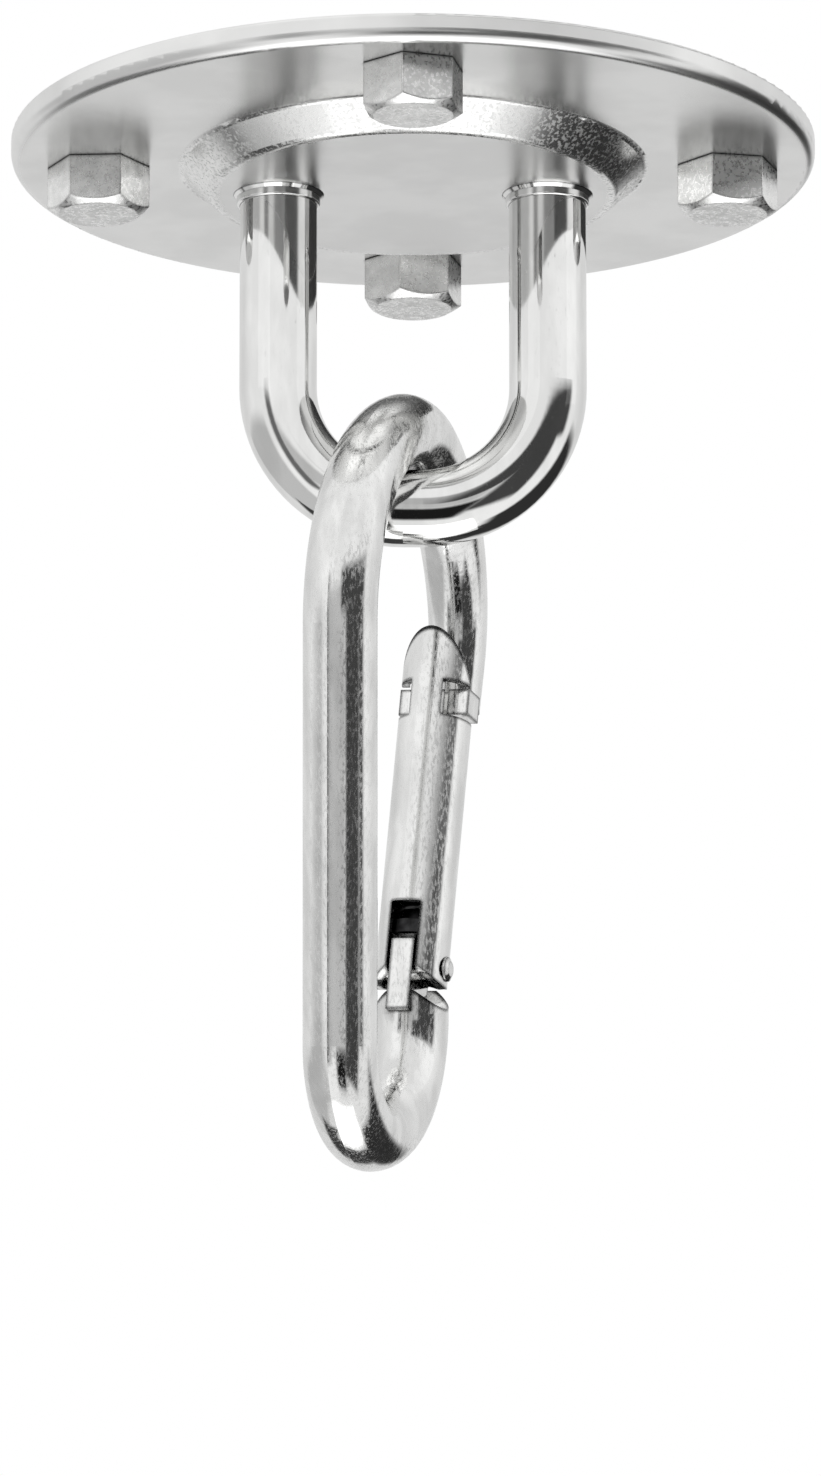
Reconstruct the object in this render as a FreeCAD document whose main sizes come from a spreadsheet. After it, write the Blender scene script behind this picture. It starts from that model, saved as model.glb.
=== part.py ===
# Ceiling hook: a round pressed steel plate with a welded bar loop, four hexagon screws and a snap hook
# that hangs in the loop. Millimetres, +Z up, origin at the centre of the plate's ceiling face.
import FreeCAD
import Part
import Sketcher
import math
import os

V = FreeCAD.Vector
doc = FreeCAD.newDocument("ceiling_hook")
dim = doc.addObject("Spreadsheet::Sheet", "dim")

# Driving dimensions, one named value each
sizes = [
    ("plate_thick", 4.0), ("rim_round", 1.8), ("rim_break", 0.5), ("screw_edge", 12.8),
    ("boss_margin", 4.2), ("boss_slope", 4.5), ("boss_height", 4.2), ("boss_wall", 4.0),
    ("boss_foot_round", 1.4), ("boss_edge_round", 1.8), ("recess_inset", 1.1), ("recess_round", 1.0),
    ("screw_dia", 8.0), ("screw_hole_clear", 0.5), ("head_gap", 4.5),
    ("head_flats", 13.0), ("head_height", 7.2), ("head_flat_share", 0.88), ("head_chamfer_angle", 32.0),
    ("bar_dia", 11.3), ("bar_spacing", 39.3), ("bar_corner", 18.2), ("bar_leg", 29.55),
    ("bar_hole_clear", 0.1), ("bar_stand", 2.6), ("bar_chamfer", 0.8),
    ("collar_proud", 0.45), ("collar_foot", 1.0), ("collar_length", 1.7), ("collar_round", 0.35),
    ("back_weld_leg", 1.6), ("back_weld_belly", 0.65),
    ("rod_dia", 10.7), ("hook_length", 112.9), ("hook_width", 60.5),
    ("apex_offset", 2.1), ("shoulder_more", 2.5), ("apex_round", 15.0), ("bulge_more", 4.4),
    ("bottom_spine_round", 12.5), ("hinge_across", 30.0), ("hinge_neck", 3.5),
    ("nose_lean", 12.3), ("nose_run", 7.0), ("nose_dia", 7.8), ("nose_offset", 7.0),
    ("hang_gap", 0.3), ("hook_yaw", 20.0), ("hook_tilt", 13.27), ("hook_side", -1.2),
    ("gate_dia", 10.7), ("gate_wall", 1.2), ("gate_beyond", 12.4), ("gate_mouth_drop", 18.0),
    ("gate_ear", 2.8), ("ear_margin", 1.15), ("mouth_reach", 1.75), ("notch_strip", 4.8),
    ("lug_gap", 0.9), ("lug_head_gap", 0.5), ("lug_hang", 3.0), ("lug_tall", 3.9), ("lug_wide", 10.7),
    ("lug_front", 1.2), ("neck_wide", 5.0), ("neck_reach", 7.5),
    ("lug_back", 3.4), ("lug_groove_wide", 4.2), ("lug_groove_deep", 1.5), ("cut_past", 0.3),
    ("slot_clear", 0.45), ("slot_top", 9.0), ("tongue_thick", 3.5), ("tongue_top", 4.4),
    ("tongue_setback", 0.55), ("tongue_clear", 0.36), ("tongue_bevel", 1.0), ("tongue_flat_end", 0.5),
    ("tongue_arc_top", 50.0), ("tongue_arc_low", 40.0), ("tongue_root", 7.2),
    ("shoulder_round", 5.8), ("neck_drop", 3.0),
    ("pin_dia", 3.0), ("pin_running_clear", 0.06), ("rivet_head_dia", 3.6), ("rivet_head_high", 0.7),
    ("rivet_top_share", 0.6),
    ("plunger_gap", 0.3), ("plunger_clear", 0.35), ("plunger_flange", 2.0), ("plunger_stem_dia", 3.6),
    ("plunger_stem", 6.0), ("spring_wire", 0.8), ("spring_turns", 7.0), ("spring_clear", 0.75),
    ("stop_thick", 1.5), ("stop_below", 8.3063),
]
for row, (alias, value) in enumerate(sizes, start=1):
    dim.set("A%d" % row, alias.replace("_", " "))
    dim.set("B%d" % row, str(value))
    dim.setAlias("B%d" % row, alias)
doc.recompute()


def value(expression):
    """Number that an expression over the sheet gives."""
    return float(dim.evalExpression(expression))


# Plate: the boss follows the bar that stands in it, and the screws and the rim follow the boss
boss_face_dia = "(dim.bar_spacing + dim.bar_dia + 2 * dim.boss_margin)"
boss_base_dia = "(" + boss_face_dia + " + 2 * dim.boss_slope)"
recess_floor_dia = "(" + boss_face_dia + " - 2 * dim.recess_inset)"
recess_mouth_dia = "(" + boss_base_dia + " - 2 * dim.recess_inset)"
head_corners = "(dim.head_flats / cos(30deg))"
screw_circle_dia = "(" + boss_base_dia + " + " + head_corners + " + 2 * dim.head_gap)"
plate_dia = "(" + screw_circle_dia + " + 2 * dim.screw_edge)"
boss_face = "-(dim.plate_thick + dim.boss_height)"
recess_floor = "-(dim.plate_thick + dim.boss_height - dim.boss_wall)"
under_plate = "-dim.plate_thick"
bar_top = recess_floor + " + dim.bar_stand"
bar_bend = boss_face + " - dim.bar_leg"
bar_low = bar_bend + " - dim.bar_corner"
bar_radius = "(dim.bar_dia / 2)"

# The hook's own frame: origin on the bar's centre line, Z up the spine, X from the spine to the gate
apex_high = "(dim.rod_dia / 2 + dim.bar_dia / 2 + dim.hang_gap)"
spine_to_apex = "((dim.hook_width - dim.rod_dia) / 2 + dim.apex_offset)"
spine_x = "-" + spine_to_apex
hook_low = "(" + apex_high + " - dim.hook_length + dim.rod_dia)"
hinge_round = "(dim.hinge_across - dim.bottom_spine_round)"
hinge_x = "(dim.hinge_across - " + spine_to_apex + ")"
hinge_z = "(" + hook_low + " + " + hinge_round + " + dim.neck_drop + dim.hinge_neck)"
# The bulge arc is tangent to the apex arc and reaches the hook's full width bulge_drop below the apex
bulge_x = "(dim.hook_width - dim.rod_dia - " + spine_to_apex + ")"
bulge_drop = "(" + bulge_x + " + dim.bulge_more)"
bulge_out = "(" + bulge_x + " - dim.apex_round)"
bulge_fall = "(" + bulge_drop + " - dim.apex_round)"
bulge_angle = "(2 * atan(" + bulge_out + " / " + bulge_fall + "))"
bulge_extra = "(" + bulge_fall + " / sin(" + bulge_angle + "))"
bulge_round = "(dim.apex_round + " + bulge_extra + ")"
bulge_centre_x = "(" + bulge_x + " - " + bulge_round + ")"
bulge_centre_z = "(" + apex_high + " - " + bulge_drop + ")"
# The shoulder arc is tangent to the spine and, from outside, to the apex arc
spine_shoulder = "(" + spine_to_apex + " + dim.shoulder_more)"
shoulder_x = "dim.shoulder_more"
shoulder_fall = "sqrt((" + spine_shoulder + " - dim.apex_round)^2 - dim.shoulder_more^2)"
shoulder_z = "(" + apex_high + " - dim.apex_round - " + shoulder_fall + ")"
nose_top_x = "(" + bulge_centre_x + " + " + bulge_round + " * cos(dim.nose_lean * 1deg))"
nose_top_z = "(" + bulge_centre_z + " - " + bulge_round + " * sin(dim.nose_lean * 1deg))"
nose_tip_x = "(" + nose_top_x + " - dim.nose_run * sin(dim.nose_lean * 1deg))"
nose_tip_z = "(" + nose_top_z + " - dim.nose_run * cos(dim.nose_lean * 1deg))"

# The shut gate leans so that the nose tip lies nose_offset outside its axis; the lugs hang below the tip
tip_out = "(" + nose_tip_x + " - " + hinge_x + ")"
tip_up = "(" + nose_tip_z + " - " + hinge_z + ")"
tip_far = "sqrt(" + tip_out + "^2 + " + tip_up + "^2)"
gate_lean = "(atan2(" + tip_out + "; " + tip_up + ") - asin(dim.nose_offset / " + tip_far + "))"
gate_radius = "(dim.gate_dia / 2)"
gate_bore = "(dim.gate_dia / 2 - dim.gate_wall)"
ear_round = "(" + gate_radius + " + dim.ear_margin)"
lug_low = "(sqrt(" + tip_out + "^2 + " + tip_up + "^2 - dim.nose_offset^2) - dim.lug_hang)"
lug_high = "(" + lug_low + " + dim.lug_tall)"
notch_low = "(" + lug_low + " - dim.lug_gap)"
notch_high = "(" + lug_high + " + dim.lug_head_gap)"
gate_top = "(" + lug_low + " + dim.gate_beyond)"
slot_wide = "(dim.tongue_thick + 2 * dim.slot_clear)"
tongue_inner = "(" + gate_radius + " - dim.tongue_setback)"
tongue_round = "(sqrt(" + gate_bore + "^2 - (dim.tongue_thick / 2)^2) - dim.tongue_clear)"
plunger_low = "(dim.tongue_top + dim.plunger_gap)"
spring_low = "(" + plunger_low + " + dim.plunger_flange)"
spring_high = "(" + notch_low + " - dim.stop_below - dim.stop_thick)"
spring_coil = "(" + gate_bore + " - dim.spring_clear - dim.spring_wire / 2)"


def bind(thing, path, expression):
    thing.setExpression(path, expression)


def new_body(label):
    body = doc.addObject("PartDesign::Body", label)
    body.Label = label
    return body


def origin_feature(body, role):
    return [item for item in body.Origin.OriginFeatures if item.Role == role][0]


def new_sketch(body, name, role, base=("0", "0", "0"), turn=None, about=(0, 0, -1)):
    """Sketch on one of the body's own planes, moved by base and turned by turn degrees, clockwise as a rule."""
    sketch = body.newObject("Sketcher::SketchObject", body.Label + "_" + name)
    sketch.AttachmentSupport = [(origin_feature(body, role), "")]
    sketch.MapMode = "FlatFace"
    start = V(value(base[0]), value(base[1]), value(base[2]))
    angle = value(turn) if turn else 0.0
    sketch.AttachmentOffset = FreeCAD.Placement(start, FreeCAD.Rotation(V(*about), angle))
    for axis, expression in zip("xyz", base):
        if expression != "0":
            bind(sketch, ".AttachmentOffset.Base." + axis, expression)
    if turn:
        bind(sketch, ".AttachmentOffset.Rotation.Angle", turn)
    return sketch


def pin_point(sketch, geometry, end, x, y):
    """Holds one point of the sketch at the place that two expressions give."""
    for kind, expression in (("DistanceX", x), ("DistanceY", y)):
        rule = Sketcher.Constraint(kind, -1, 1, geometry, end, value(expression))
        index = sketch.addConstraint(rule)
        bind(sketch, "Constraints[%d]" % index, expression)


def add_outline(sketch, points):
    """Closed outline of straight lines through points, each a pair of expressions."""
    places = [V(value(x), value(y), 0) for x, y in points]
    first = sketch.GeometryCount
    for index, place in enumerate(places):
        sketch.addGeometry(Part.LineSegment(place, places[(index + 1) % len(places)]), False)
    for index, (x, y) in enumerate(points):
        following = first + (index + 1) % len(points)
        sketch.addConstraint(Sketcher.Constraint("Coincident", first + index, 2, following, 1))
        pin_point(sketch, first + index, 1, x, y)


def add_circle(sketch, x, y, radius):
    circle = Part.Circle(V(value(x), value(y), 0), V(0, 0, 1), value(radius))
    geometry = sketch.addGeometry(circle, False)
    pin_point(sketch, geometry, 3, x, y)
    index = sketch.addConstraint(Sketcher.Constraint("Radius", geometry, value(radius)))
    bind(sketch, "Constraints[%d]" % index, radius)


def add_path(sketch, start, steps):
    """Path of straight runs and arcs, closed when its last line ends where it starts.

    A line is ("line", x, y). An arc is ("arc", centre x, centre y, radius, angle at its end).
    """
    first = sketch.GeometryCount
    here = V(value(start[0]), value(start[1]), 0)
    previous = None
    for step in steps:
        if step[0] == "line":
            there = V(value(step[1]), value(step[2]), 0)
            geometry = sketch.addGeometry(Part.LineSegment(here, there), False)
            begin, finish = 1, 2
        else:
            centre = V(value(step[1]), value(step[2]), 0)
            radius = value(step[3])
            from_angle = math.atan2(here.y - centre.y, here.x - centre.x)
            to_angle = math.radians(value(step[4]))
            turn = (to_angle - from_angle + math.pi) % (2 * math.pi) - math.pi
            circle = Part.Circle(centre, V(0, 0, 1), radius)
            ends = (from_angle, from_angle + turn) if turn > 0 else (from_angle + turn, from_angle)
            geometry = sketch.addGeometry(Part.ArcOfCircle(circle, ends[0], ends[1]), False)
            begin, finish = (1, 2) if turn > 0 else (2, 1)
            there = centre + V(radius * math.cos(to_angle), radius * math.sin(to_angle), 0)
        if previous is None:
            pin_point(sketch, geometry, begin, start[0], start[1])
        else:
            sketch.addConstraint(Sketcher.Constraint("Coincident", previous[0], previous[1], geometry, begin))
        closes = step is steps[-1] and tuple(step[1:3]) == tuple(start)
        if closes:
            sketch.addConstraint(Sketcher.Constraint("Coincident", geometry, finish, first, 1))
        elif step[0] == "line":
            pin_point(sketch, geometry, finish, step[1], step[2])
        else:
            pin_point(sketch, geometry, 3, step[1], step[2])
        previous = (geometry, finish)
        here = there


def add_pad(body, name, sketch, length, both_ways=False):
    pad = body.newObject("PartDesign::Pad", body.Label + "_" + name)
    pad.Profile = sketch
    pad.Midplane = both_ways
    bind(pad, "Length", length)
    doc.recompute()
    return pad


def add_pocket(body, name, sketch, length=None, both_ways=False, reverse=False):
    """Pocket that goes right through when it has no length; it must take material away."""
    before = body.Shape.Volume
    pocket = body.newObject("PartDesign::Pocket", body.Label + "_" + name)
    pocket.Profile = sketch
    pocket.Midplane = both_ways
    pocket.Reversed = reverse
    if length is None:
        pocket.Type = 1
    else:
        bind(pocket, "Length", length)
    doc.recompute()
    if not body.Shape.Volume < before:
        raise ValueError(pocket.Name + " cuts nothing")
    return pocket


def add_turned(body, name, kind, sketch):
    """Revolution or Groove of a sketch right round the body's Z axis."""
    turned = body.newObject("PartDesign::" + kind, body.Label + "_" + name)
    turned.Profile = sketch
    turned.ReferenceAxis = (origin_feature(body, "Z_Axis"), [""])
    turned.Angle = 360.0
    doc.recompute()
    return turned


def add_pipe(body, name, profile, path, last=None):
    """Sweep of profile along path, changing evenly into last where that is given."""
    pipe = body.newObject("PartDesign::AdditivePipe", body.Label + "_" + name)
    pipe.Profile = profile
    pipe.Spine = path
    if last:
        pipe.Sections = [last]
        pipe.Transformation = "Multisection"
    doc.recompute()
    return pipe


def round_circles(body, name, rings, radius, kind="Fillet"):
    """Rounds or bevels the circular edges at each (radius, height) about the body's Z axis."""
    feature = body.Tip
    wanted = [(value(across), value(height)) for across, height in rings]
    edges = []
    for index, edge in enumerate(feature.Shape.Edges, start=1):
        if not isinstance(edge.Curve, Part.Circle):
            continue
        for across, height in wanted:
            centre = edge.Curve.Center
            flat = math.hypot(centre.x, centre.y) < 0.001 and abs(centre.z - height) < 0.001
            if flat and abs(edge.Curve.Radius - across) < 0.001:
                edges.append("Edge%d" % index)
    if len(edges) < len(wanted):
        raise ValueError(body.Label + " has no edge for " + name)
    finish = body.newObject("PartDesign::" + kind, body.Label + "_" + name)
    finish.Base = (feature, edges)
    bind(finish, "Radius" if kind == "Fillet" else "Size", radius)
    doc.recompute()
    return finish


def place(thing, position, rotation=FreeCAD.Rotation()):
    thing.Placement = FreeCAD.Placement(V(*[value(axis) for axis in position]), rotation)
    for axis, expression in zip("xyz", position):
        bind(thing, ".Placement.Base." + axis, expression)


def box_corners(left, low, right, high):
    return [(left, low), (right, low), (right, high), (left, high)]


def new_gate_sketch(body, name):
    """Sketch across the hook's thickness whose axes are the gate's own when it is shut."""
    return new_sketch(body, name, "XZ_Plane", (hinge_x, hinge_z, "0"), gate_lean)


def add_tongue(sketch):
    """Outline of the hinge tongue: square on the spine side, round where the gate's bore turns past it."""
    reach = "-" + tongue_inner
    root = "-dim.tongue_root"
    round_x = tongue_round + " * cos(dim.tongue_arc_top * 1deg)"
    round_y = tongue_round + " * sin(dim.tongue_arc_top * 1deg)"
    low_x = tongue_round + " * cos(dim.tongue_arc_low * 1deg)"
    add_path(sketch, (reach, root), [
        ("line", reach, "dim.tongue_top - dim.tongue_bevel"),
        ("line", reach + " + dim.tongue_bevel", "dim.tongue_top"),
        ("line", "-dim.tongue_flat_end", "dim.tongue_top"), ("line", round_x, round_y),
        ("arc", "0", "0", tongue_round, "-dim.tongue_arc_low"),
        ("line", low_x, root), ("line", reach, root)])


def add_ear_cut(sketch):
    """Everything below the gate's rounded ears, with the arc run on past the tube's outside."""
    centre = "(" + ear_round + " - dim.gate_ear)"
    reach = "(" + gate_radius + " + dim.cut_past)"
    rise = "(" + centre + " - sqrt(" + ear_round + "^2 - " + reach + "^2))"
    low = "-dim.gate_dia"
    add_path(sketch, ("-" + reach, rise), [
        ("arc", "0", centre, ear_round, "-acos(" + reach + " / " + ear_round + ")"),
        ("line", reach, low), ("line", "-" + reach, low), ("line", "-" + reach, rise)])


def make_plate():
    """Round plate with its boss pressed down from the ceiling side, so the back has a recess."""
    body = new_body("ceiling_plate")
    profile = new_sketch(body, "profile", "XZ_Plane")
    rim = plate_dia + " / 2"
    foot = boss_base_dia + " / 2"
    edge = boss_face_dia + " / 2"
    mouth = recess_mouth_dia + " / 2"
    floor = recess_floor_dia + " / 2"
    add_outline(profile, [
        ("0", boss_face), (edge, boss_face), (foot, under_plate), (rim, under_plate), (rim, "0"),
        (mouth, "0"), (floor, recess_floor), ("0", recess_floor)])
    add_turned(body, "disc", "Revolution", profile)
    round_circles(body, "rim_round", [(rim, under_plate)], "dim.rim_round")
    round_circles(body, "rim_break", [(rim, "0")], "dim.rim_break")
    round_circles(body, "boss_foot", [(foot, under_plate)], "dim.boss_foot_round")
    round_circles(body, "boss_edge", [(edge, boss_face)], "dim.boss_edge_round")
    round_circles(body, "recess_edges", [(mouth, "0"), (floor, recess_floor)], "dim.recess_round")

    bar_holes = new_sketch(body, "bar_holes", "XY_Plane")
    for side in ("-", ""):
        add_circle(bar_holes, side + "dim.bar_spacing / 2", "0", "dim.bar_dia / 2 + dim.bar_hole_clear")
    add_pocket(body, "bar_holes_cut", bar_holes)

    screw_hole = new_sketch(body, "screw_hole", "XY_Plane")
    add_circle(screw_hole, screw_circle_dia + " / 2", "0", "dim.screw_dia / 2 + dim.screw_hole_clear")
    first_hole = add_pocket(body, "screw_hole_cut", screw_hole)
    ring = body.newObject("PartDesign::PolarPattern", body.Label + "_screw_holes")
    ring.Originals = [first_hole]
    ring.Axis = (origin_feature(body, "Z_Axis"), [""])
    ring.Angle = 360.0
    ring.Occurrences = 4
    body.Tip = ring
    doc.recompute()
    return body


def make_bar():
    """Round bar bent into a U, its ends through the boss and into the recess."""
    body = new_body("u_bar")
    half = "dim.bar_spacing / 2"
    path = new_sketch(body, "path", "XZ_Plane")
    add_path(path, ("-" + half, bar_top), [
        ("line", "-" + half, bar_bend),
        ("arc", "-" + half + " + dim.bar_corner", bar_bend, "dim.bar_corner", "-90"),
        ("line", half + " - dim.bar_corner", bar_low),
        ("arc", half + " - dim.bar_corner", bar_bend, "dim.bar_corner", "0"),
        ("line", half, bar_top)])
    section = new_sketch(body, "section", "XY_Plane", ("0", "0", bar_top))
    add_circle(section, "-" + half, "0", bar_radius)
    bend = add_pipe(body, "bend", section, path)
    ends = [index for index, edge in enumerate(body.Shape.Edges, start=1)
            if edge.isClosed() and abs(edge.CenterOfMass.z - value(bar_top)) < 0.001]
    bevel = body.newObject("PartDesign::Chamfer", "u_bar_ends")
    bevel.Base = (bend, ["Edge%d" % index for index in ends])
    bind(bevel, "Size", "dim.bar_chamfer")
    doc.recompute()
    return body


def make_collar(label, side):
    """Small polished weld ring where a leg of the bar leaves the boss."""
    body = new_body(label)
    profile = new_sketch(body, "profile", "XZ_Plane")
    proud = bar_radius + " + dim.collar_proud"
    low = "-dim.collar_length"
    add_outline(profile, [
        (bar_radius, "0"), (bar_radius + " + dim.collar_foot", "0"),
        (proud, "dim.collar_proud - dim.collar_foot"), (proud, low), (bar_radius, low)])
    add_turned(body, "ring", "Revolution", profile)
    round_circles(body, "ring_round", [(proud, low)], "dim.collar_round")
    place(body, (side + "dim.bar_spacing / 2", "0", boss_face))
    return body


def make_back_weld(label, side):
    """Weld bead round a bar end in the recess behind the boss."""
    body = new_body(label)
    profile = new_sketch(body, "profile", "XZ_Plane")
    leg = "dim.back_weld_leg"
    belly = leg + " * dim.back_weld_belly"
    add_outline(profile, [
        (bar_radius, "0"), (bar_radius + " + " + leg, "0"), (bar_radius + " + " + belly, belly),
        (bar_radius, leg)])
    add_turned(body, "bead", "Revolution", profile)
    place(body, (side + "dim.bar_spacing / 2", "0", recess_floor))
    return body


def make_screw(label, around, turn):
    """Hexagon screw: its head bears on the plate and its shank fills the hole up to the ceiling face."""
    body = new_body(label)
    head = new_sketch(body, "head", "XY_Plane")
    corner = head_corners + " / 2"
    add_outline(head, [
        (corner + " * cos(%ddeg)" % angle, corner + " * sin(%ddeg)" % angle)
        for angle in range(0, 360, 60)])
    block = add_pad(body, "head_block", head, "dim.head_height")
    block.Reversed = True
    doc.recompute()
    bevel = new_sketch(body, "bevel", "XZ_Plane")
    inner = "dim.head_flats / 2 * dim.head_flat_share"
    outer = "dim.head_flats"
    rise = "(" + outer + " - " + inner + ") * tan(dim.head_chamfer_angle * 1deg)"
    add_outline(bevel, [
        (inner, "-dim.head_height"), (outer, "-dim.head_height"), (outer, "-dim.head_height + " + rise)])
    add_turned(body, "bevel_cut", "Groove", bevel)
    shank = new_sketch(body, "shank", "XY_Plane")
    add_circle(shank, "0", "0", "dim.screw_dia / 2")
    add_pad(body, "shank_rod", shank, "dim.plate_thick")
    spot = screw_circle_dia + " / 2 * %s(" + str(around) + "deg)"
    place(body, (spot % "cos", spot % "sin", under_plate), FreeCAD.Rotation(V(0, 0, 1), turn))
    return body


def hook_placement():
    """Where the snap hook hangs: over the bar's lowest run, turned and leaning as it hangs by itself."""
    turn = FreeCAD.Rotation(V(0, 0, 1), 90 - value("dim.hook_yaw"))
    lean = FreeCAD.Rotation(V(1, 0, 0), value("dim.hook_tilt"))
    spot = V(value("dim.hook_side"), 0, value(bar_low))
    return FreeCAD.Placement(spot, lean * turn)


def gate_placement():
    """The gate's frame: origin on the hinge pin, Z along the gate, X away from the spine."""
    turn = FreeCAD.Rotation(V(0, 1, 0), value(gate_lean))
    spot = V(value(hinge_x), 0, value(hinge_z))
    return hook_placement().multiply(FreeCAD.Placement(spot, turn))


def make_hook_body():
    """Bent rod of the snap hook: spine, crown, nose with its two lugs, and the hinge tongue."""
    body = new_body("carabiner_body")
    rod = "dim.rod_dia / 2"
    path = new_sketch(body, "path", "XZ_Plane")
    spine_round = "dim.bottom_spine_round"
    shoulder_end = "atan2(" + shoulder_fall + "; -" + shoulder_x + ")"
    add_path(path, (hinge_x, hinge_z + " - dim.neck_drop"), [
        ("line", hinge_x, hook_low + " + " + hinge_round),
        ("arc", hinge_x + " - " + hinge_round, hook_low + " + " + hinge_round, hinge_round, "-90"),
        ("arc", spine_x + " + " + spine_round, hook_low + " + " + spine_round, spine_round, "180"),
        ("line", spine_x, shoulder_z),
        ("arc", shoulder_x, shoulder_z, spine_shoulder, shoulder_end),
        ("arc", "0", apex_high + " - dim.apex_round", "dim.apex_round", bulge_angle)])
    section = new_sketch(body, "section", "XY_Plane", ("0", "0", hinge_z + " - dim.neck_drop"))
    add_circle(section, hinge_x, "0", rod)
    add_pipe(body, "rod", section, path)

    crown_x = "dim.apex_round * cos(" + bulge_angle + ")"
    crown_z = apex_high + " - dim.apex_round + dim.apex_round * sin(" + bulge_angle + ")"
    nose_path = new_sketch(body, "nose_path", "XZ_Plane")
    add_path(nose_path, (crown_x, crown_z), [
        ("arc", bulge_centre_x, bulge_centre_z, bulge_round, "-dim.nose_lean"),
        ("line", nose_tip_x, nose_tip_z)])
    crown_end = new_sketch(body, "crown_end", "XY_Plane", (crown_x, "0", crown_z), bulge_angle, (0, -1, 0))
    add_circle(crown_end, "0", "0", rod)
    tip_end = new_sketch(body, "tip_end", "XY_Plane", (nose_tip_x, "0", nose_tip_z), "dim.nose_lean", (0, 1, 0))
    add_circle(tip_end, "0", "0", "dim.nose_dia / 2")
    add_pipe(body, "nose", crown_end, nose_path, tip_end)

    lug = new_gate_sketch(body, "lug")
    add_outline(lug, box_corners("-dim.lug_front", lug_low, "dim.lug_back", lug_high))
    add_pad(body, "lug_block", lug, "dim.lug_wide", both_ways=True)
    neck = new_gate_sketch(body, "lug_neck")
    add_outline(neck, box_corners("0", lug_low, "dim.neck_reach", lug_high))
    add_pad(body, "lug_neck_block", neck, "dim.neck_wide", both_ways=True)
    groove = new_gate_sketch(body, "lug_groove")
    groove_back = "dim.lug_groove_deep - dim.lug_front"
    add_outline(groove, box_corners("-dim.lug_front - dim.cut_past", lug_low, groove_back, lug_high))
    add_pocket(body, "lug_groove_cut", groove, "dim.lug_groove_wide", both_ways=True)

    saddle = new_sketch(body, "saddle", "XZ_Plane")
    add_circle(saddle, hinge_x, hinge_z, "dim.shoulder_round")
    add_pocket(body, "saddle_cut", saddle, both_ways=True)
    tongue = new_gate_sketch(body, "tongue")
    add_tongue(tongue)
    add_pad(body, "tongue_plate", tongue, "dim.tongue_thick", both_ways=True)
    pin_hole = new_gate_sketch(body, "pin_hole")
    add_circle(pin_hole, "0", "0", "dim.pin_dia / 2 + dim.pin_running_clear")
    add_pocket(body, "pin_hole_cut", pin_hole, both_ways=True)
    body.Placement = hook_placement()
    return body


def make_gate():
    """Rolled tube of the gate, in its own frame: Z along the tube from the hinge pin, X outward."""
    body = new_body("gate")
    outer = new_sketch(body, "outer", "XY_Plane", ("0", "0", "-" + ear_round))
    add_circle(outer, "0", "0", gate_radius)
    add_pad(body, "tube", outer, gate_top + " + " + ear_round)
    bore = new_sketch(body, "bore", "XY_Plane", ("0", "0", gate_top))
    add_circle(bore, "0", "0", gate_bore)
    add_pocket(body, "bore_cut", bore)

    beyond = "dim.gate_dia"
    slant = new_sketch(body, "slant", "XZ_Plane")
    drop = "(" + beyond + " + " + gate_radius + ") * dim.gate_mouth_drop / dim.gate_dia"
    above = gate_top + " + dim.cut_past"
    add_outline(slant, [
        ("-" + gate_radius, gate_top), (beyond, gate_top + " - " + drop),
        (beyond, above), ("-" + gate_radius, above)])
    add_pocket(body, "slant_cut", slant, both_ways=True)
    mouth = new_sketch(body, "mouth", "XZ_Plane")
    add_outline(mouth, box_corners("dim.mouth_reach", notch_low, beyond, gate_top))
    add_pocket(body, "mouth_cut", mouth, both_ways=True)
    notches = new_sketch(body, "notches", "YZ_Plane")
    for side in ("-", ""):
        add_outline(notches, box_corners(
            side + "dim.notch_strip / 2", notch_low, side + beyond, notch_high))
    add_pocket(body, "notch_cut", notches, both_ways=True)

    slot = new_sketch(body, "slot", "YZ_Plane")
    add_outline(slot, box_corners("-" + slot_wide + " / 2", "-dim.gate_dia", slot_wide + " / 2", "dim.slot_top"))
    add_pocket(body, "slot_cut", slot, beyond)
    ears = new_sketch(body, "ears", "XZ_Plane")
    add_ear_cut(ears)
    add_pocket(body, "ear_cut", ears, both_ways=True)
    pin_hole = new_sketch(body, "pin_hole", "XZ_Plane")
    add_circle(pin_hole, "0", "0", "dim.pin_dia / 2")
    add_pocket(body, "pin_hole_cut", pin_hole, both_ways=True)
    body.Placement = gate_placement()
    return body


def make_pin():
    """Rivet through the gate's ears and the tongue, with a low domed head at each end."""
    body = new_body("gate_pin")
    half = "dim.gate_dia / 2"
    head = "dim.rivet_head_dia / 2"
    profile = new_sketch(body, "profile", "XZ_Plane")
    top = "(" + half + " + dim.rivet_head_high)"
    edge = "(" + half + " + dim.rivet_head_high * (1 - dim.rivet_top_share))"
    flat = head + " * dim.rivet_top_share"
    add_outline(profile, [
        ("0", "-" + top), (flat, "-" + top), (head, "-" + edge), (head, "-" + half), ("dim.pin_dia / 2", "-" + half),
        ("dim.pin_dia / 2", half), (head, half), (head, edge), (flat, top), ("0", top)])
    add_turned(body, "rivet", "Revolution", profile)
    across = FreeCAD.Placement(V(0, 0, 0), FreeCAD.Rotation(V(1, 0, 0), 90))
    body.Placement = gate_placement().multiply(across)
    return body


def make_plunger():
    """Flanged plunger that the spring presses on to the tongue."""
    body = new_body("gate_plunger")
    wide = gate_bore + " - dim.plunger_clear"
    stem = "dim.plunger_stem_dia / 2"
    profile = new_sketch(body, "profile", "XZ_Plane")
    add_outline(profile, [
        ("0", plunger_low), (wide, plunger_low), (wide, spring_low), (stem, spring_low),
        (stem, spring_low + " + dim.plunger_stem"), ("0", spring_low + " + dim.plunger_stem")])
    add_turned(body, "cap", "Revolution", profile)
    body.Placement = gate_placement()
    return body


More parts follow.
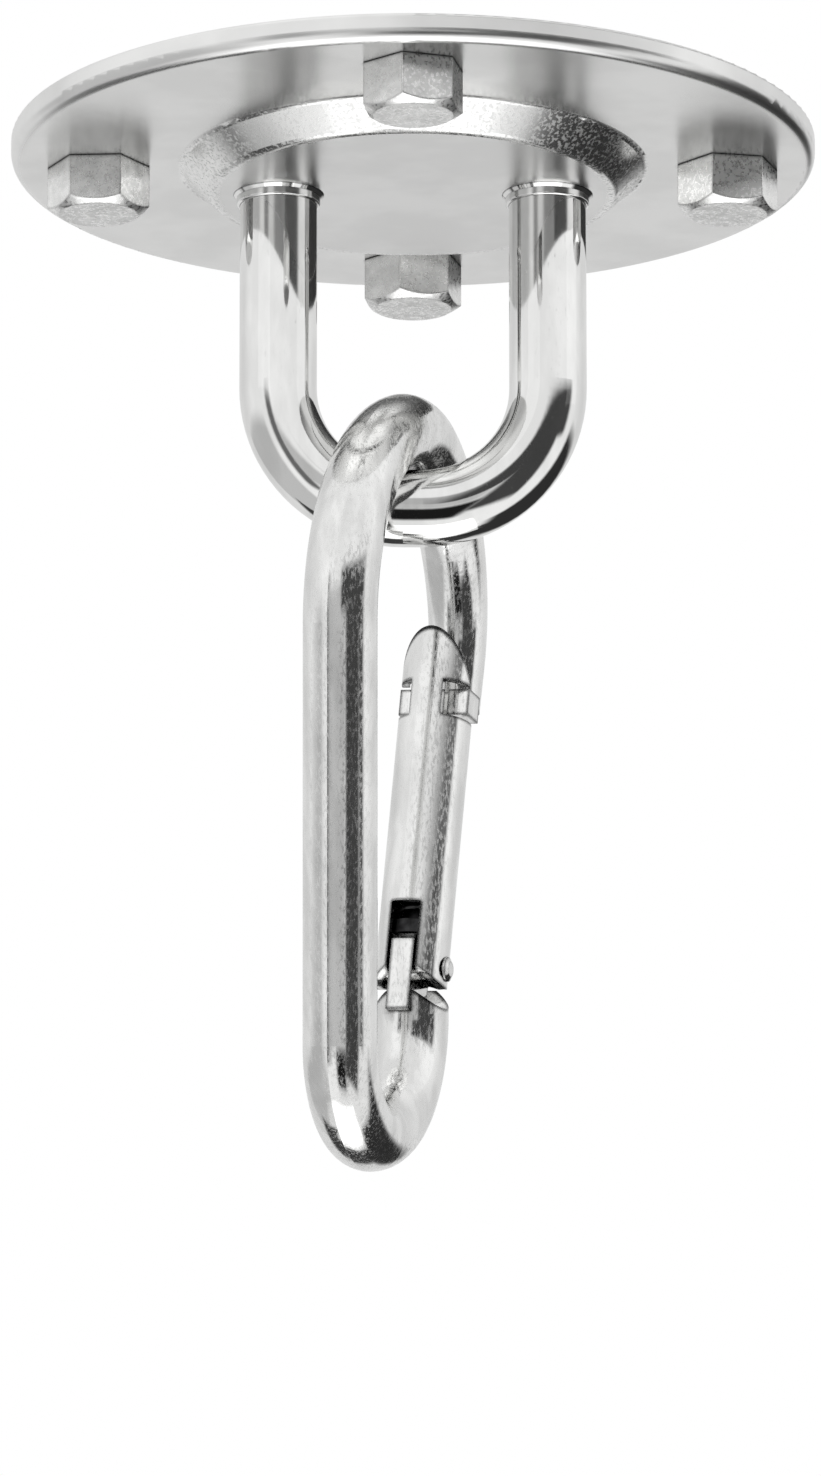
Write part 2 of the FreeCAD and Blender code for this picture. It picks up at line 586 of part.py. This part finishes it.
def make_spring():
    """Closing spring inside the gate, a plain open coil."""
    wire = value("dim.spring_wire / 2")
    length = value(spring_high + " - " + spring_low) - 2 * wire
    radius = value(spring_coil)
    coil = Part.makeHelix(length / value("dim.spring_turns"), length, radius)
    section = Part.Wire(Part.makeCircle(wire, V(radius, 0, 0), V(0, 1, 0)))
    spring = doc.addObject("Part::Feature", "gate_spring")
    spring.Label = "gate_spring"
    spring.Shape = Part.Wire(coil).makePipeShell([section], True, True)
    low = FreeCAD.Placement(V(0, 0, value(spring_low) + wire), FreeCAD.Rotation())
    spring.Placement = gate_placement().multiply(low)
    return spring


def make_stop():
    """Disc pressed into the gate's bore, which the spring bears on."""
    body = new_body("spring_stop")
    disc = new_sketch(body, "disc", "XY_Plane", ("0", "0", spring_high))
    add_circle(disc, "0", "0", gate_bore)
    add_pad(body, "disc_pad", disc, "dim.stop_thick")
    body.Placement = gate_placement()
    return body


parts = [make_plate(), make_bar()]
for name, side in (("left", "-"), ("right", "")):
    parts.append(make_collar("weld_collar_" + name, side))
    parts.append(make_back_weld("back_weld_" + name, side))
for name, around, turn in (("right", 0, 11.4), ("back", 90, 14.7), ("left", 180, -3.0), ("front", 270, 18.4)):
    parts.append(make_screw("lag_screw_" + name, around, turn))
parts += [make_hook_body(), make_gate(), make_pin(), make_plunger(), make_spring(), make_stop()]
doc.recompute()

for item in doc.Objects:
    if "Invalid" in item.State or "Error" in item.State:
        raise ValueError(item.Name + " failed: " + str(item.State))
for item in parts:
    if item.Shape.isNull() or not item.Shape.isValid() or len(item.Shape.Solids) != 1:
        raise ValueError(item.Label + " is not one valid solid")
os.makedirs("parts", exist_ok=True)
for item in parts:
    item.Shape.exportStep("parts/" + item.Label + ".step")
    print(item.Label, round(item.Shape.Volume, 1), "mm3")
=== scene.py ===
import math
import bpy
import bmesh
from mathutils import Matrix, Vector


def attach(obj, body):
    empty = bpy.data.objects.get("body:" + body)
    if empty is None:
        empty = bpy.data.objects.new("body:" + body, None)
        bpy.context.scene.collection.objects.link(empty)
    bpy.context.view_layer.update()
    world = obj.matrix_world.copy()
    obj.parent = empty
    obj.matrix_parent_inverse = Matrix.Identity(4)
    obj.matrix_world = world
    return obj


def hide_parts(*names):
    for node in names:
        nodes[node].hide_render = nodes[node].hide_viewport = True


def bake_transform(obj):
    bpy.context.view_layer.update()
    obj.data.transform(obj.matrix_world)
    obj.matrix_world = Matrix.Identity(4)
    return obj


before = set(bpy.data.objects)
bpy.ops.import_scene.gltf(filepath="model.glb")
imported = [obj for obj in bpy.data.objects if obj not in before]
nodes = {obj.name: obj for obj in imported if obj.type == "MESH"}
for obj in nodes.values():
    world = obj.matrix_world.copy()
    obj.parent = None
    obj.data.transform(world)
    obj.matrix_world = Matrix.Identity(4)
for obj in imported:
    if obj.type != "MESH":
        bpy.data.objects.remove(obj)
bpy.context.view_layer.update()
mm = 0.001
print("frame loaded:", len(nodes), "nodes")


def linearColour(hexCode):
    parts = [int(hexCode[i:i + 2], 16) / 255 for i in (1, 3, 5)]
    return [c / 12.92 if c <= 0.04045 else ((c + 0.055) / 1.055) ** 2.4 for c in parts] + [1.0]


def newTree(owner):
    owner.use_nodes = True
    owner.node_tree.nodes.clear()
    return owner.node_tree


def addNode(tree, kind, settings=None, inputs=None):
    # an input takes a number, a colour, or the output of another node
    node = tree.nodes.new(kind)
    for key, setting in (settings or {}).items():
        setattr(node, key, setting)
    for key, source in (inputs or {}).items():
        if isinstance(source, bpy.types.NodeSocket):
            tree.links.new(source, node.inputs[key])
        else:
            node.inputs[key].default_value = source
    return node


# Steels. Every surface here is bare or zinc-plated steel, and each is named for how it was made, but for the
# spring steel, named for its painted shade.
grainFineness = 0.55        # how much of the finer grain shows in each noise
cloudEdge = (0.35, 0.65)    # where the slow blotches of a finish turn from its dark to its light tone
# Painted shade: the near-black colour laid along sharp edges and into corners, and the samples and limits of
# its two masks
paintedShadeLook = {
    "paintedShade": "#0C0C0D",
    "edgeSamples": 6, "edgeUnshaded": 0.992, "edgeBlack": 0.9,
    "cornerSamples": 8, "cornerUnshaded": 0.72, "cornerBlack": 0.3,
}


def addGrain(tree, coords, size, detail=3.0, stretch=(1, 1, 1)):
    # noise whose blotches are about size metres across, drawn out where stretch is below 1
    mapping = addNode(tree, "ShaderNodeMapping", inputs={0: coords, "Scale": stretch})
    noise = addNode(tree, "ShaderNodeTexNoise", inputs={
        "Vector": mapping.outputs[0], "Scale": 1 / size, "Detail": detail, "Roughness": grainFineness})
    return noise.outputs[0]


def addCloud(tree, coords, size, stretch=(1, 1, 1)):
    grain = addGrain(tree, coords, size, stretch=stretch)
    cloud = addNode(tree, "ShaderNodeMapRange", {"interpolation_type": "SMOOTHSTEP"}, {
        0: grain, 1: cloudEdge[0], 2: cloudEdge[1]})
    return cloud.outputs[0]


def addPaintedShade(tree, look):
    # painted shade along sharp edges, for the dark reflections and gaps there: black where a rounded normal
    # turns away from the face's own
    rounded = addNode(tree, "ShaderNodeBevel", {"samples": paintedShadeLook["edgeSamples"]}, {
        "Radius": look["edgeReach"]})
    face = addNode(tree, "ShaderNodeNewGeometry")
    agree = addNode(tree, "ShaderNodeVectorMath", {"operation": "DOT_PRODUCT"}, {
        0: rounded.outputs[0], 1: face.outputs["Normal"]})
    edge = addNode(tree, "ShaderNodeMapRange", {"interpolation_type": "SMOOTHSTEP"}, {
        0: agree.outputs["Value"], 1: paintedShadeLook["edgeUnshaded"], 2: paintedShadeLook["edgeBlack"]})
    edge = addNode(tree, "ShaderNodeMath", {"operation": "MULTIPLY"}, {
        0: edge.outputs[0], 1: look["edgeShade"]})
    # painted shade in the corners where pieces meet, darker the more ambient occlusion finds them closed in
    clear = addNode(tree, "ShaderNodeAmbientOcclusion", {"samples": paintedShadeLook["cornerSamples"]}, {
        "Distance": look["cornerReach"]})
    corner = addNode(tree, "ShaderNodeMapRange", {"interpolation_type": "SMOOTHSTEP"}, {
        0: clear.outputs["AO"], 1: paintedShadeLook["cornerUnshaded"], 2: paintedShadeLook["cornerBlack"]})
    corner = addNode(tree, "ShaderNodeMath", {"operation": "MULTIPLY"}, {
        0: corner.outputs[0], 1: look["cornerShade"]})
    paintedShade = addNode(tree, "ShaderNodeMath", {"operation": "MAXIMUM"}, {
        0: edge.outputs[0], 1: corner.outputs[0]})
    return paintedShade.outputs[0]


def finishSteel(tree, look, cloud, roughness, relief):
    tint = addNode(tree, "ShaderNodeMix", {"data_type": "RGBA"}, {
        0: cloud, "A": linearColour(look["dark"]), "B": linearColour(look["light"])})
    # the painted shade of edges and corners is mixed in over the tone
    shaded = addNode(tree, "ShaderNodeMix", {"data_type": "RGBA"}, {
        0: addPaintedShade(tree, look), "A": tint.outputs[2], "B": linearColour(paintedShadeLook["paintedShade"])})
    bump = addNode(tree, "ShaderNodeBump", inputs={
        "Strength": 1.0, "Distance": look["depth"], "Height": relief})
    shader = addNode(tree, "ShaderNodeBsdfPrincipled", inputs={
        "Base Color": shaded.outputs[2], "Metallic": 1.0, "Roughness": roughness, "Normal": bump.outputs[0]})
    addNode(tree, "ShaderNodeOutputMaterial", inputs={0: shader.outputs[0]})


def spottedSteel(name, look):
    # Dull spots among mirror-bright metal, and a slow waviness that makes long reflections waver
    material = bpy.data.materials.new(name)
    tree = newTree(material)
    coords = addNode(tree, "ShaderNodeTexCoord").outputs["Object"]
    cloud = addCloud(tree, coords, look["cloudSize"], look["along"])
    spots = addGrain(tree, coords, look["spotSize"], look["spotDetail"], look["along"])
    dull = addNode(tree, "ShaderNodeMapRange", {"interpolation_type": "SMOOTHSTEP"}, {
        0: spots, 1: look["spotFrom"], 2: look["spotFrom"] + look["spotFade"]})
    rough = addNode(tree, "ShaderNodeMapRange", inputs={
        0: dull.outputs[0], 3: look["rough"], 4: look["dull"]})
    wave = addGrain(tree, coords, look["waveSize"], look["waveDetail"], look["along"])
    relief = addNode(tree, "ShaderNodeMath", {"operation": "MULTIPLY_ADD"}, {
        0: spots, 1: look["spotRelief"], 2: wave})
    finishSteel(tree, look, cloud, rough.outputs[0], relief.outputs[0])
    return material


lengthwise = (1, 1, 0.3)    # the bars stand and hang, so their grain runs up and down
evenly = (1, 1, 1)
spotLook = {"spotDetail": 4.0, "spotFade": 0.16, "waveDetail": 1.0}
# In each look the edge and corner entries set how far and how dark the painted shade reaches along edges and
# into corners
steelLooks = {
    # round bar, drawn and then polished: long clean reflections with hardly a mark
    "polishedBarSteel": {
        "light": "#F2F2F1", "dark": "#E4E4E3", "cloudSize": 5 * mm, "along": lengthwise,
        "spotSize": 0.4 * mm, "spotFrom": 0.58, "spotRelief": 0.02, "rough": 0.06, "dull": 0.16,
        "waveSize": 7 * mm, "depth": 0.02 * mm,
        "edgeReach": 0.3 * mm, "edgeShade": 0.7, "cornerReach": 1 * mm, "cornerShade": 0.6,
    },
    # rod plated with zinc in a barrel: bright, but finely mottled, with painted shade in black along its
    # edges.
    # The mottling is drawn coarser than the real 0.1 mm so that it shows.
    "zincPlatedSteel": {
        "light": "#EFEFEE", "dark": "#DEDEDD", "cloudSize": 3 * mm, "along": lengthwise,
        "spotSize": 0.3 * mm, "spotFrom": 0.46, "spotRelief": 0.012, "rough": 0.09, "dull": 0.3,
        "waveSize": 5 * mm, "depth": 0.014 * mm,
        "edgeReach": 0.95 * mm, "edgeShade": 0.97, "cornerReach": 1 * mm, "cornerShade": 0.7,
    },
    # forged heads under the same zinc: pale and satin, grainy, with painted shade where they meet the plate
    "forgedSteel": {
        "light": "#FCFCFB", "dark": "#ECECEB", "cloudSize": 2 * mm, "along": evenly,
        "spotSize": 0.5 * mm, "spotFrom": 0.4, "spotRelief": 0.02, "rough": 0.26, "dull": 0.42,
        "waveSize": 3 * mm, "depth": 0.06 * mm,
        "edgeReach": 0.6 * mm, "edgeShade": 0.6, "cornerReach": 1.6 * mm, "cornerShade": 0.95,
    },
    # spring steel inside the gate: near black, as painted shade for the dark inside the gate, with a soft
    # sheen
    "springSteelPaintedShade": {
        "light": "#4A4A4B", "dark": "#262627", "cloudSize": 2 * mm, "along": evenly,
        "spotSize": 0.5 * mm, "spotFrom": 0.4, "spotRelief": 0.05, "rough": 0.3, "dull": 0.45,
        "waveSize": 3 * mm, "depth": 0.02 * mm,
        "edgeReach": 0.2 * mm, "edgeShade": 0.5, "cornerReach": 1 * mm, "cornerShade": 0.5,
    },
}
steels = {name: spottedSteel(name, {**look, **spotLook}) for name, look in steelLooks.items()}

# Plate pressed from sheet: satin with faint scuffs on the flats, and speckled on the slope of the
# boss, where pressing stretched the sheet. Distances are from the plate's middle.
plateLook = {
    "light": "#F0F0EF", "dark": "#E6E6E5", "cloudSize": 16 * mm, "depth": 0.03 * mm,
    "faceRough": 0.28, "slopeRough": 0.2, "flatRough": 0.25, "rimRough": 0.28, "speckRough": 0.42,
    "faceEdge": 28.6 * mm, "slopeEnd": 34.2 * mm, "rimStart": 57.4 * mm, "soft": 0.5 * mm,
    "speckSize": 0.5 * mm, "speckDetail": 2.0, "speckFrom": 0.5, "speckFull": 0.62, "speckRelief": 0.1,
    "scuffSize": 0.35 * mm, "scuffDetail": 2.0, "scuffRelief": 0.01,
    # painted shade along the plate's edges and in the corners around the heads and collars
    "edgeReach": 0.2 * mm, "edgeShade": 0.5, "cornerReach": 1.6 * mm, "cornerShade": 0.9,
}


def pressedSteel(name, look):
    material = bpy.data.materials.new(name)
    tree = newTree(material)
    coords = addNode(tree, "ShaderNodeTexCoord").outputs["Object"]
    across = addNode(tree, "ShaderNodeVectorMath", {"operation": "MULTIPLY"}, {0: coords, 1: (1, 1, 0)})
    radius = addNode(tree, "ShaderNodeVectorMath", {"operation": "LENGTH"}, {0: across.outputs[0]})
    past = {}
    rough = look["faceRough"]
    rings = (("faceEdge", "slopeRough"), ("slopeEnd", "flatRough"), ("rimStart", "rimRough"))
    for edge, beyond in rings:
        past[edge] = addNode(tree, "ShaderNodeMapRange", {"interpolation_type": "SMOOTHSTEP"}, {
            0: radius.outputs["Value"], 1: look[edge] - look["soft"], 2: look[edge] + look["soft"]}).outputs[0]
        rough = addNode(tree, "ShaderNodeMapRange", inputs={
            0: past[edge], 3: rough, 4: look[beyond]}).outputs[0]
    slope = addNode(tree, "ShaderNodeMath", {"operation": "SUBTRACT"}, {
        0: past["faceEdge"], 1: past["slopeEnd"]})
    specks = addNode(tree, "ShaderNodeMapRange", {"interpolation_type": "SMOOTHSTEP"}, {
        0: addGrain(tree, coords, look["speckSize"], look["speckDetail"]),
        1: look["speckFrom"], 2: look["speckFull"]})
    specks = addNode(tree, "ShaderNodeMath", {"operation": "MULTIPLY"}, {
        0: specks.outputs[0], 1: slope.outputs[0]})
    rough = addNode(tree, "ShaderNodeMapRange", inputs={
        0: specks.outputs[0], 3: rough, 4: look["speckRough"]})
    bumps = addNode(tree, "ShaderNodeMath", {"operation": "MULTIPLY"}, {
        0: specks.outputs[0], 1: look["speckRelief"]})
    relief = addNode(tree, "ShaderNodeMath", {"operation": "MULTIPLY_ADD"}, {
        0: addGrain(tree, coords, look["scuffSize"], look["scuffDetail"]), 1: look["scuffRelief"],
        2: bumps.outputs[0]})
    cloud = addCloud(tree, coords, look["cloudSize"])
    finishSteel(tree, look, cloud, rough.outputs[0], relief.outputs[0])
    return material


steels["pressedSteel"] = pressedSteel("pressedSteel", plateLook)
finish = {
    "pressedSteel": ["ceiling_plate"],
    "polishedBarSteel": ["u_bar", "weld_collar_left", "weld_collar_right",
                         "back_weld_left", "back_weld_right"],
    "forgedSteel": ["lag_screw_right", "lag_screw_back", "lag_screw_left", "lag_screw_front"],
    "zincPlatedSteel": ["carabiner_body", "gate", "gate_pin"],
    "springSteelPaintedShade": ["gate_plunger", "gate_spring", "spring_stop"],
}
for steelName, nodeNames in finish.items():
    for nodeName in nodeNames:
        mesh = nodes[nodeName].data
        mesh.materials.clear()
        mesh.materials.append(steels[steelName])
print("materials made:", len(steels))

# Pieces that stand for CAD nodes: each starts as a merged copy of the node's mesh
copyLook = {"mergeWithin": 0.002 * mm, "flatAngle": 0.4, "normalWeight": 100}


def mergedCopy(nodeName):
    source = nodes[nodeName]
    mesh = bmesh.new()
    mesh.from_mesh(source.data)
    mesh.transform(source.matrix_world)
    bmesh.ops.remove_doubles(mesh, verts=mesh.verts, dist=copyLook["mergeWithin"])
    return mesh


def standIn(mesh, pieceName, nodeName, steelName):
    for face in mesh.faces:
        face.smooth = True
    data = bpy.data.meshes.new(pieceName)
    mesh.to_mesh(data)
    mesh.free()
    data.materials.append(steels[steelName])
    piece = bpy.data.objects.new(pieceName, data)
    bpy.context.collection.objects.link(piece)
    weighted = piece.modifiers.new("weighted", "WEIGHTED_NORMAL")
    weighted.weight = copyLook["normalWeight"]
    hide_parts(nodeName)
    return piece


# The lag screws, with the edges of their heads left round by forging. The facets of a head are
# merged to one face each first, so that only real edges are rounded.
headLook = {"sharpAngle": 24, "edgeRound": 0.4 * mm, "steps": 3, "bulge": 0.5}
for side in ("right", "back", "left", "front"):
    mesh = mergedCopy("lag_screw_" + side)
    bmesh.ops.dissolve_limit(mesh, angle_limit=math.radians(copyLook["flatAngle"]),
                             verts=mesh.verts, edges=mesh.edges)
    sharpAngle = math.radians(headLook["sharpAngle"])
    sharp = [edge for edge in mesh.edges
             if len(edge.link_faces) == 2 and edge.calc_face_angle() > sharpAngle]
    bmesh.ops.bevel(mesh, geom=sharp, offset=headLook["edgeRound"], segments=headLook["steps"],
                    profile=headLook["bulge"], affect="EDGES", clamp_overlap=True)
    screw = standIn(mesh, "forged_screw_" + side, "lag_screw_" + side, "forgedSteel")
    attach(screw, "ceiling_mount")
print("screws made")

# The gate's spring: a merged copy of its node, set in place between the stop and the plunger
spring = standIn(mergedCopy("gate_spring"), "closing_spring", "gate_spring", "springSteelPaintedShade")
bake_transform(spring)
print("spring made")

# Studio: a white surround with soft dark cards, which give polished metal its dark streaks.
# Bearings run from the front (0) to the right (90) and back (180), heights from the horizon,
# both in degrees. A card is given by its middle, its half width and half height, the softness of
# its sides and of its top and foot, and how dark it is.
studio = {"white": 0.94, "black": 0.012}
cards = [
    # in front, low: the black band across the bar's bend, and a grey streak down the hook's spine
    {"bearing": 4, "wide": 17, "height": -34, "tall": 17, "soft": 5, "topSoft": 5, "dark": 1.0},
    {"bearing": -8, "wide": 24, "height": -5, "tall": 12, "soft": 4, "topSoft": 4, "dark": 0.42},
    # front right: the dark edge of that streak, and above it the gate's dark side
    {"bearing": 39, "wide": 22, "height": -17, "tall": 22, "soft": 5, "topSoft": 5, "dark": 0.95},
    {"bearing": 38, "wide": 38, "height": 4.4, "tall": 10.2, "soft": 6, "topSoft": 2.4, "dark": 0.95},
    # front left and left: a thin dark line and a pale grey band beside it
    {"bearing": -36, "wide": 7, "height": -6, "tall": 20, "soft": 4, "topSoft": 4, "dark": 0.85},
    {"bearing": -95, "wide": 38, "height": -24, "tall": 26, "soft": 5, "topSoft": 5, "dark": 0.42},
    # back right: the black end of the boss's slope
    {"bearing": 130, "wide": 34, "height": -30, "tall": 28, "soft": 6, "topSoft": 6, "dark": 0.98},
    # behind: the black foot of the bends, and the plate's light grey
    {"bearing": 180, "wide": 60, "height": -45, "tall": 15, "soft": 4, "topSoft": 4, "dark": 0.96},
    {"bearing": 180, "wide": 75, "height": -10, "tall": 60, "soft": 22, "topSoft": 22, "dark": 0.18},
]
world = bpy.data.worlds.new("studioWhite")
bpy.context.scene.world = world
tree = newTree(world)
toward = addNode(tree, "ShaderNodeTexCoord").outputs["Generated"]
toward = addNode(tree, "ShaderNodeSeparateXYZ", inputs={0: toward}).outputs
frontward = addNode(tree, "ShaderNodeMath", {"operation": "MULTIPLY"}, {0: toward[1], 1: -1.0})
bearing = addNode(tree, "ShaderNodeMath", {"operation": "ARCTAN2"}, {
    0: toward[0], 1: frontward.outputs[0]})
height = addNode(tree, "ShaderNodeMath", {"operation": "ARCSINE"}, {0: toward[2]})


def addBand(angle, middle, half, soft):
    # 1 within half of middle and 0 beyond, in degrees, the shorter way round
    away = addNode(tree, "ShaderNodeMath", {"operation": "SUBTRACT"}, {0: angle, 1: math.radians(middle)})
    away = addNode(tree, "ShaderNodeMath", {"operation": "WRAP"}, {
        0: away.outputs[0], 1: math.pi, 2: -math.pi})
    away = addNode(tree, "ShaderNodeMath", {"operation": "ABSOLUTE"}, {0: away.outputs[0]})
    band = addNode(tree, "ShaderNodeMapRange", {"interpolation_type": "SMOOTHSTEP"}, {
        0: away.outputs[0], 1: math.radians(half + soft), 2: math.radians(half - soft)})
    return band.outputs[0]


shade = 0.0
for card in cards:
    patch = addNode(tree, "ShaderNodeMath", {"operation": "MULTIPLY"}, {
        0: addBand(bearing.outputs[0], card["bearing"], card["wide"], card["soft"]),
        1: addBand(height.outputs[0], card["height"], card["tall"], card["topSoft"])})
    patch = addNode(tree, "ShaderNodeMath", {"operation": "MULTIPLY"}, {0: patch.outputs[0], 1: card["dark"]})
    shade = addNode(tree, "ShaderNodeMath", {"operation": "MAXIMUM"}, {
        0: shade, 1: patch.outputs[0]}).outputs[0]
level = addNode(tree, "ShaderNodeMapRange", inputs={0: shade, 3: studio["white"], 4: studio["black"]})
# only reflections see the cards; to the camera the surround is plain white
rays = addNode(tree, "ShaderNodeLightPath").outputs
strength = addNode(tree, "ShaderNodeMix", {"data_type": "FLOAT"}, {
    0: rays["Is Glossy Ray"], 2: 1.0, 3: level.outputs[0]})
background = addNode(tree, "ShaderNodeBackground", inputs={0: (1, 1, 1, 1), 1: strength.outputs[0]})
addNode(tree, "ShaderNodeOutputWorld", inputs={0: background.outputs[0]})

# The ground: white paper far below the hook
groundLook = {"height": -2.6, "size": 30.0, "paper": "#FAFAFA", "glow": 0.5}
groundMesh = bmesh.new()
bmesh.ops.create_grid(groundMesh, x_segments=1, y_segments=1, size=groundLook["size"] / 2,
                      matrix=Matrix.Translation((0, 0, groundLook["height"])))
groundData = bpy.data.meshes.new("ground")
groundMesh.to_mesh(groundData)
groundMesh.free()
ground = bpy.data.objects.new("ground", groundData)
bpy.context.collection.objects.link(ground)
paper = bpy.data.materials.new("whitePaper")
tree = newTree(paper)
matte = addNode(tree, "ShaderNodeBsdfDiffuse", inputs={0: linearColour(groundLook["paper"])})
glow = addNode(tree, "ShaderNodeEmission", inputs={0: (1, 1, 1, 1), 1: 1.0})
mixed = addNode(tree, "ShaderNodeMixShader", inputs={
    0: groundLook["glow"], 1: matte.outputs[0], 2: glow.outputs[0]})
addNode(tree, "ShaderNodeOutputMaterial", inputs={0: mixed.outputs[0]})
groundData.materials.append(paper)
ground.visible_glossy = False    # the metal reflects the cards and not the paper

lamps = [
    {"name": "keySoftbox", "place": (-2.6, -2.8, 2.4), "size": (3.0, 3.0), "watts": 2.4},
    {"name": "fillSoftbox", "place": (3.2, -0.8, 1.8), "size": (2.4, 3.0), "watts": 1.6},
    {"name": "lowSoftbox", "place": (0, 0.1, -1.5), "size": (1.4, 1.4), "watts": 4.5},
]
aim = Vector((0, 0, -70 * mm))    # about the middle of the whole hook
for lamp in lamps:
    light = bpy.data.lights.new(lamp["name"], "AREA")
    light.shape = "RECTANGLE"
    light.size, light.size_y = lamp["size"]
    light.energy = lamp["watts"]
    holder = bpy.data.objects.new(lamp["name"], light)
    bpy.context.collection.objects.link(holder)
    holder.location = lamp["place"]
    holder.rotation_euler = (aim - holder.location).to_track_quat("-Z", "Y").to_euler()
print("studio lit")

# Camera: below the plate, looking up at it through a long lens. The plate's middle stands on
# plateRow of the picture, where a pixel covers plateScale, and is seen at plateAngle from below.
shot = {
    "rows": 1476, "focalPixels": 12000.0, "plateScale": 0.1465 * mm, "plateAngle": 18.1,
    "plateRow": 168, "middleRow": 738, "faceDepth": 4 * mm, "sideways": -0.37 * mm,
    "sensorHigh": 24.0, "farthest": 100,
}
reach = shot["focalPixels"] * shot["plateScale"]
plateAngle = math.radians(shot["plateAngle"])
axisAngle = plateAngle - math.atan((shot["middleRow"] - shot["plateRow"]) / shot["focalPixels"])
lens = bpy.data.cameras.new("camera")
lens.sensor_fit = "VERTICAL"
lens.sensor_height = shot["sensorHigh"]
lens.lens = shot["focalPixels"] / shot["rows"] * shot["sensorHigh"]
lens.clip_end = shot["farthest"]
camera = bpy.data.objects.new("camera", lens)
bpy.context.collection.objects.link(camera)
camera.location = (shot["sideways"], -reach * math.cos(plateAngle),
                   -shot["faceDepth"] - reach * math.sin(plateAngle))
camera.rotation_euler = (math.pi / 2 + axisAngle, 0, 0)
bpy.context.scene.camera = camera
bpy.context.scene.view_settings.view_transform = "Standard"
print("camera set")
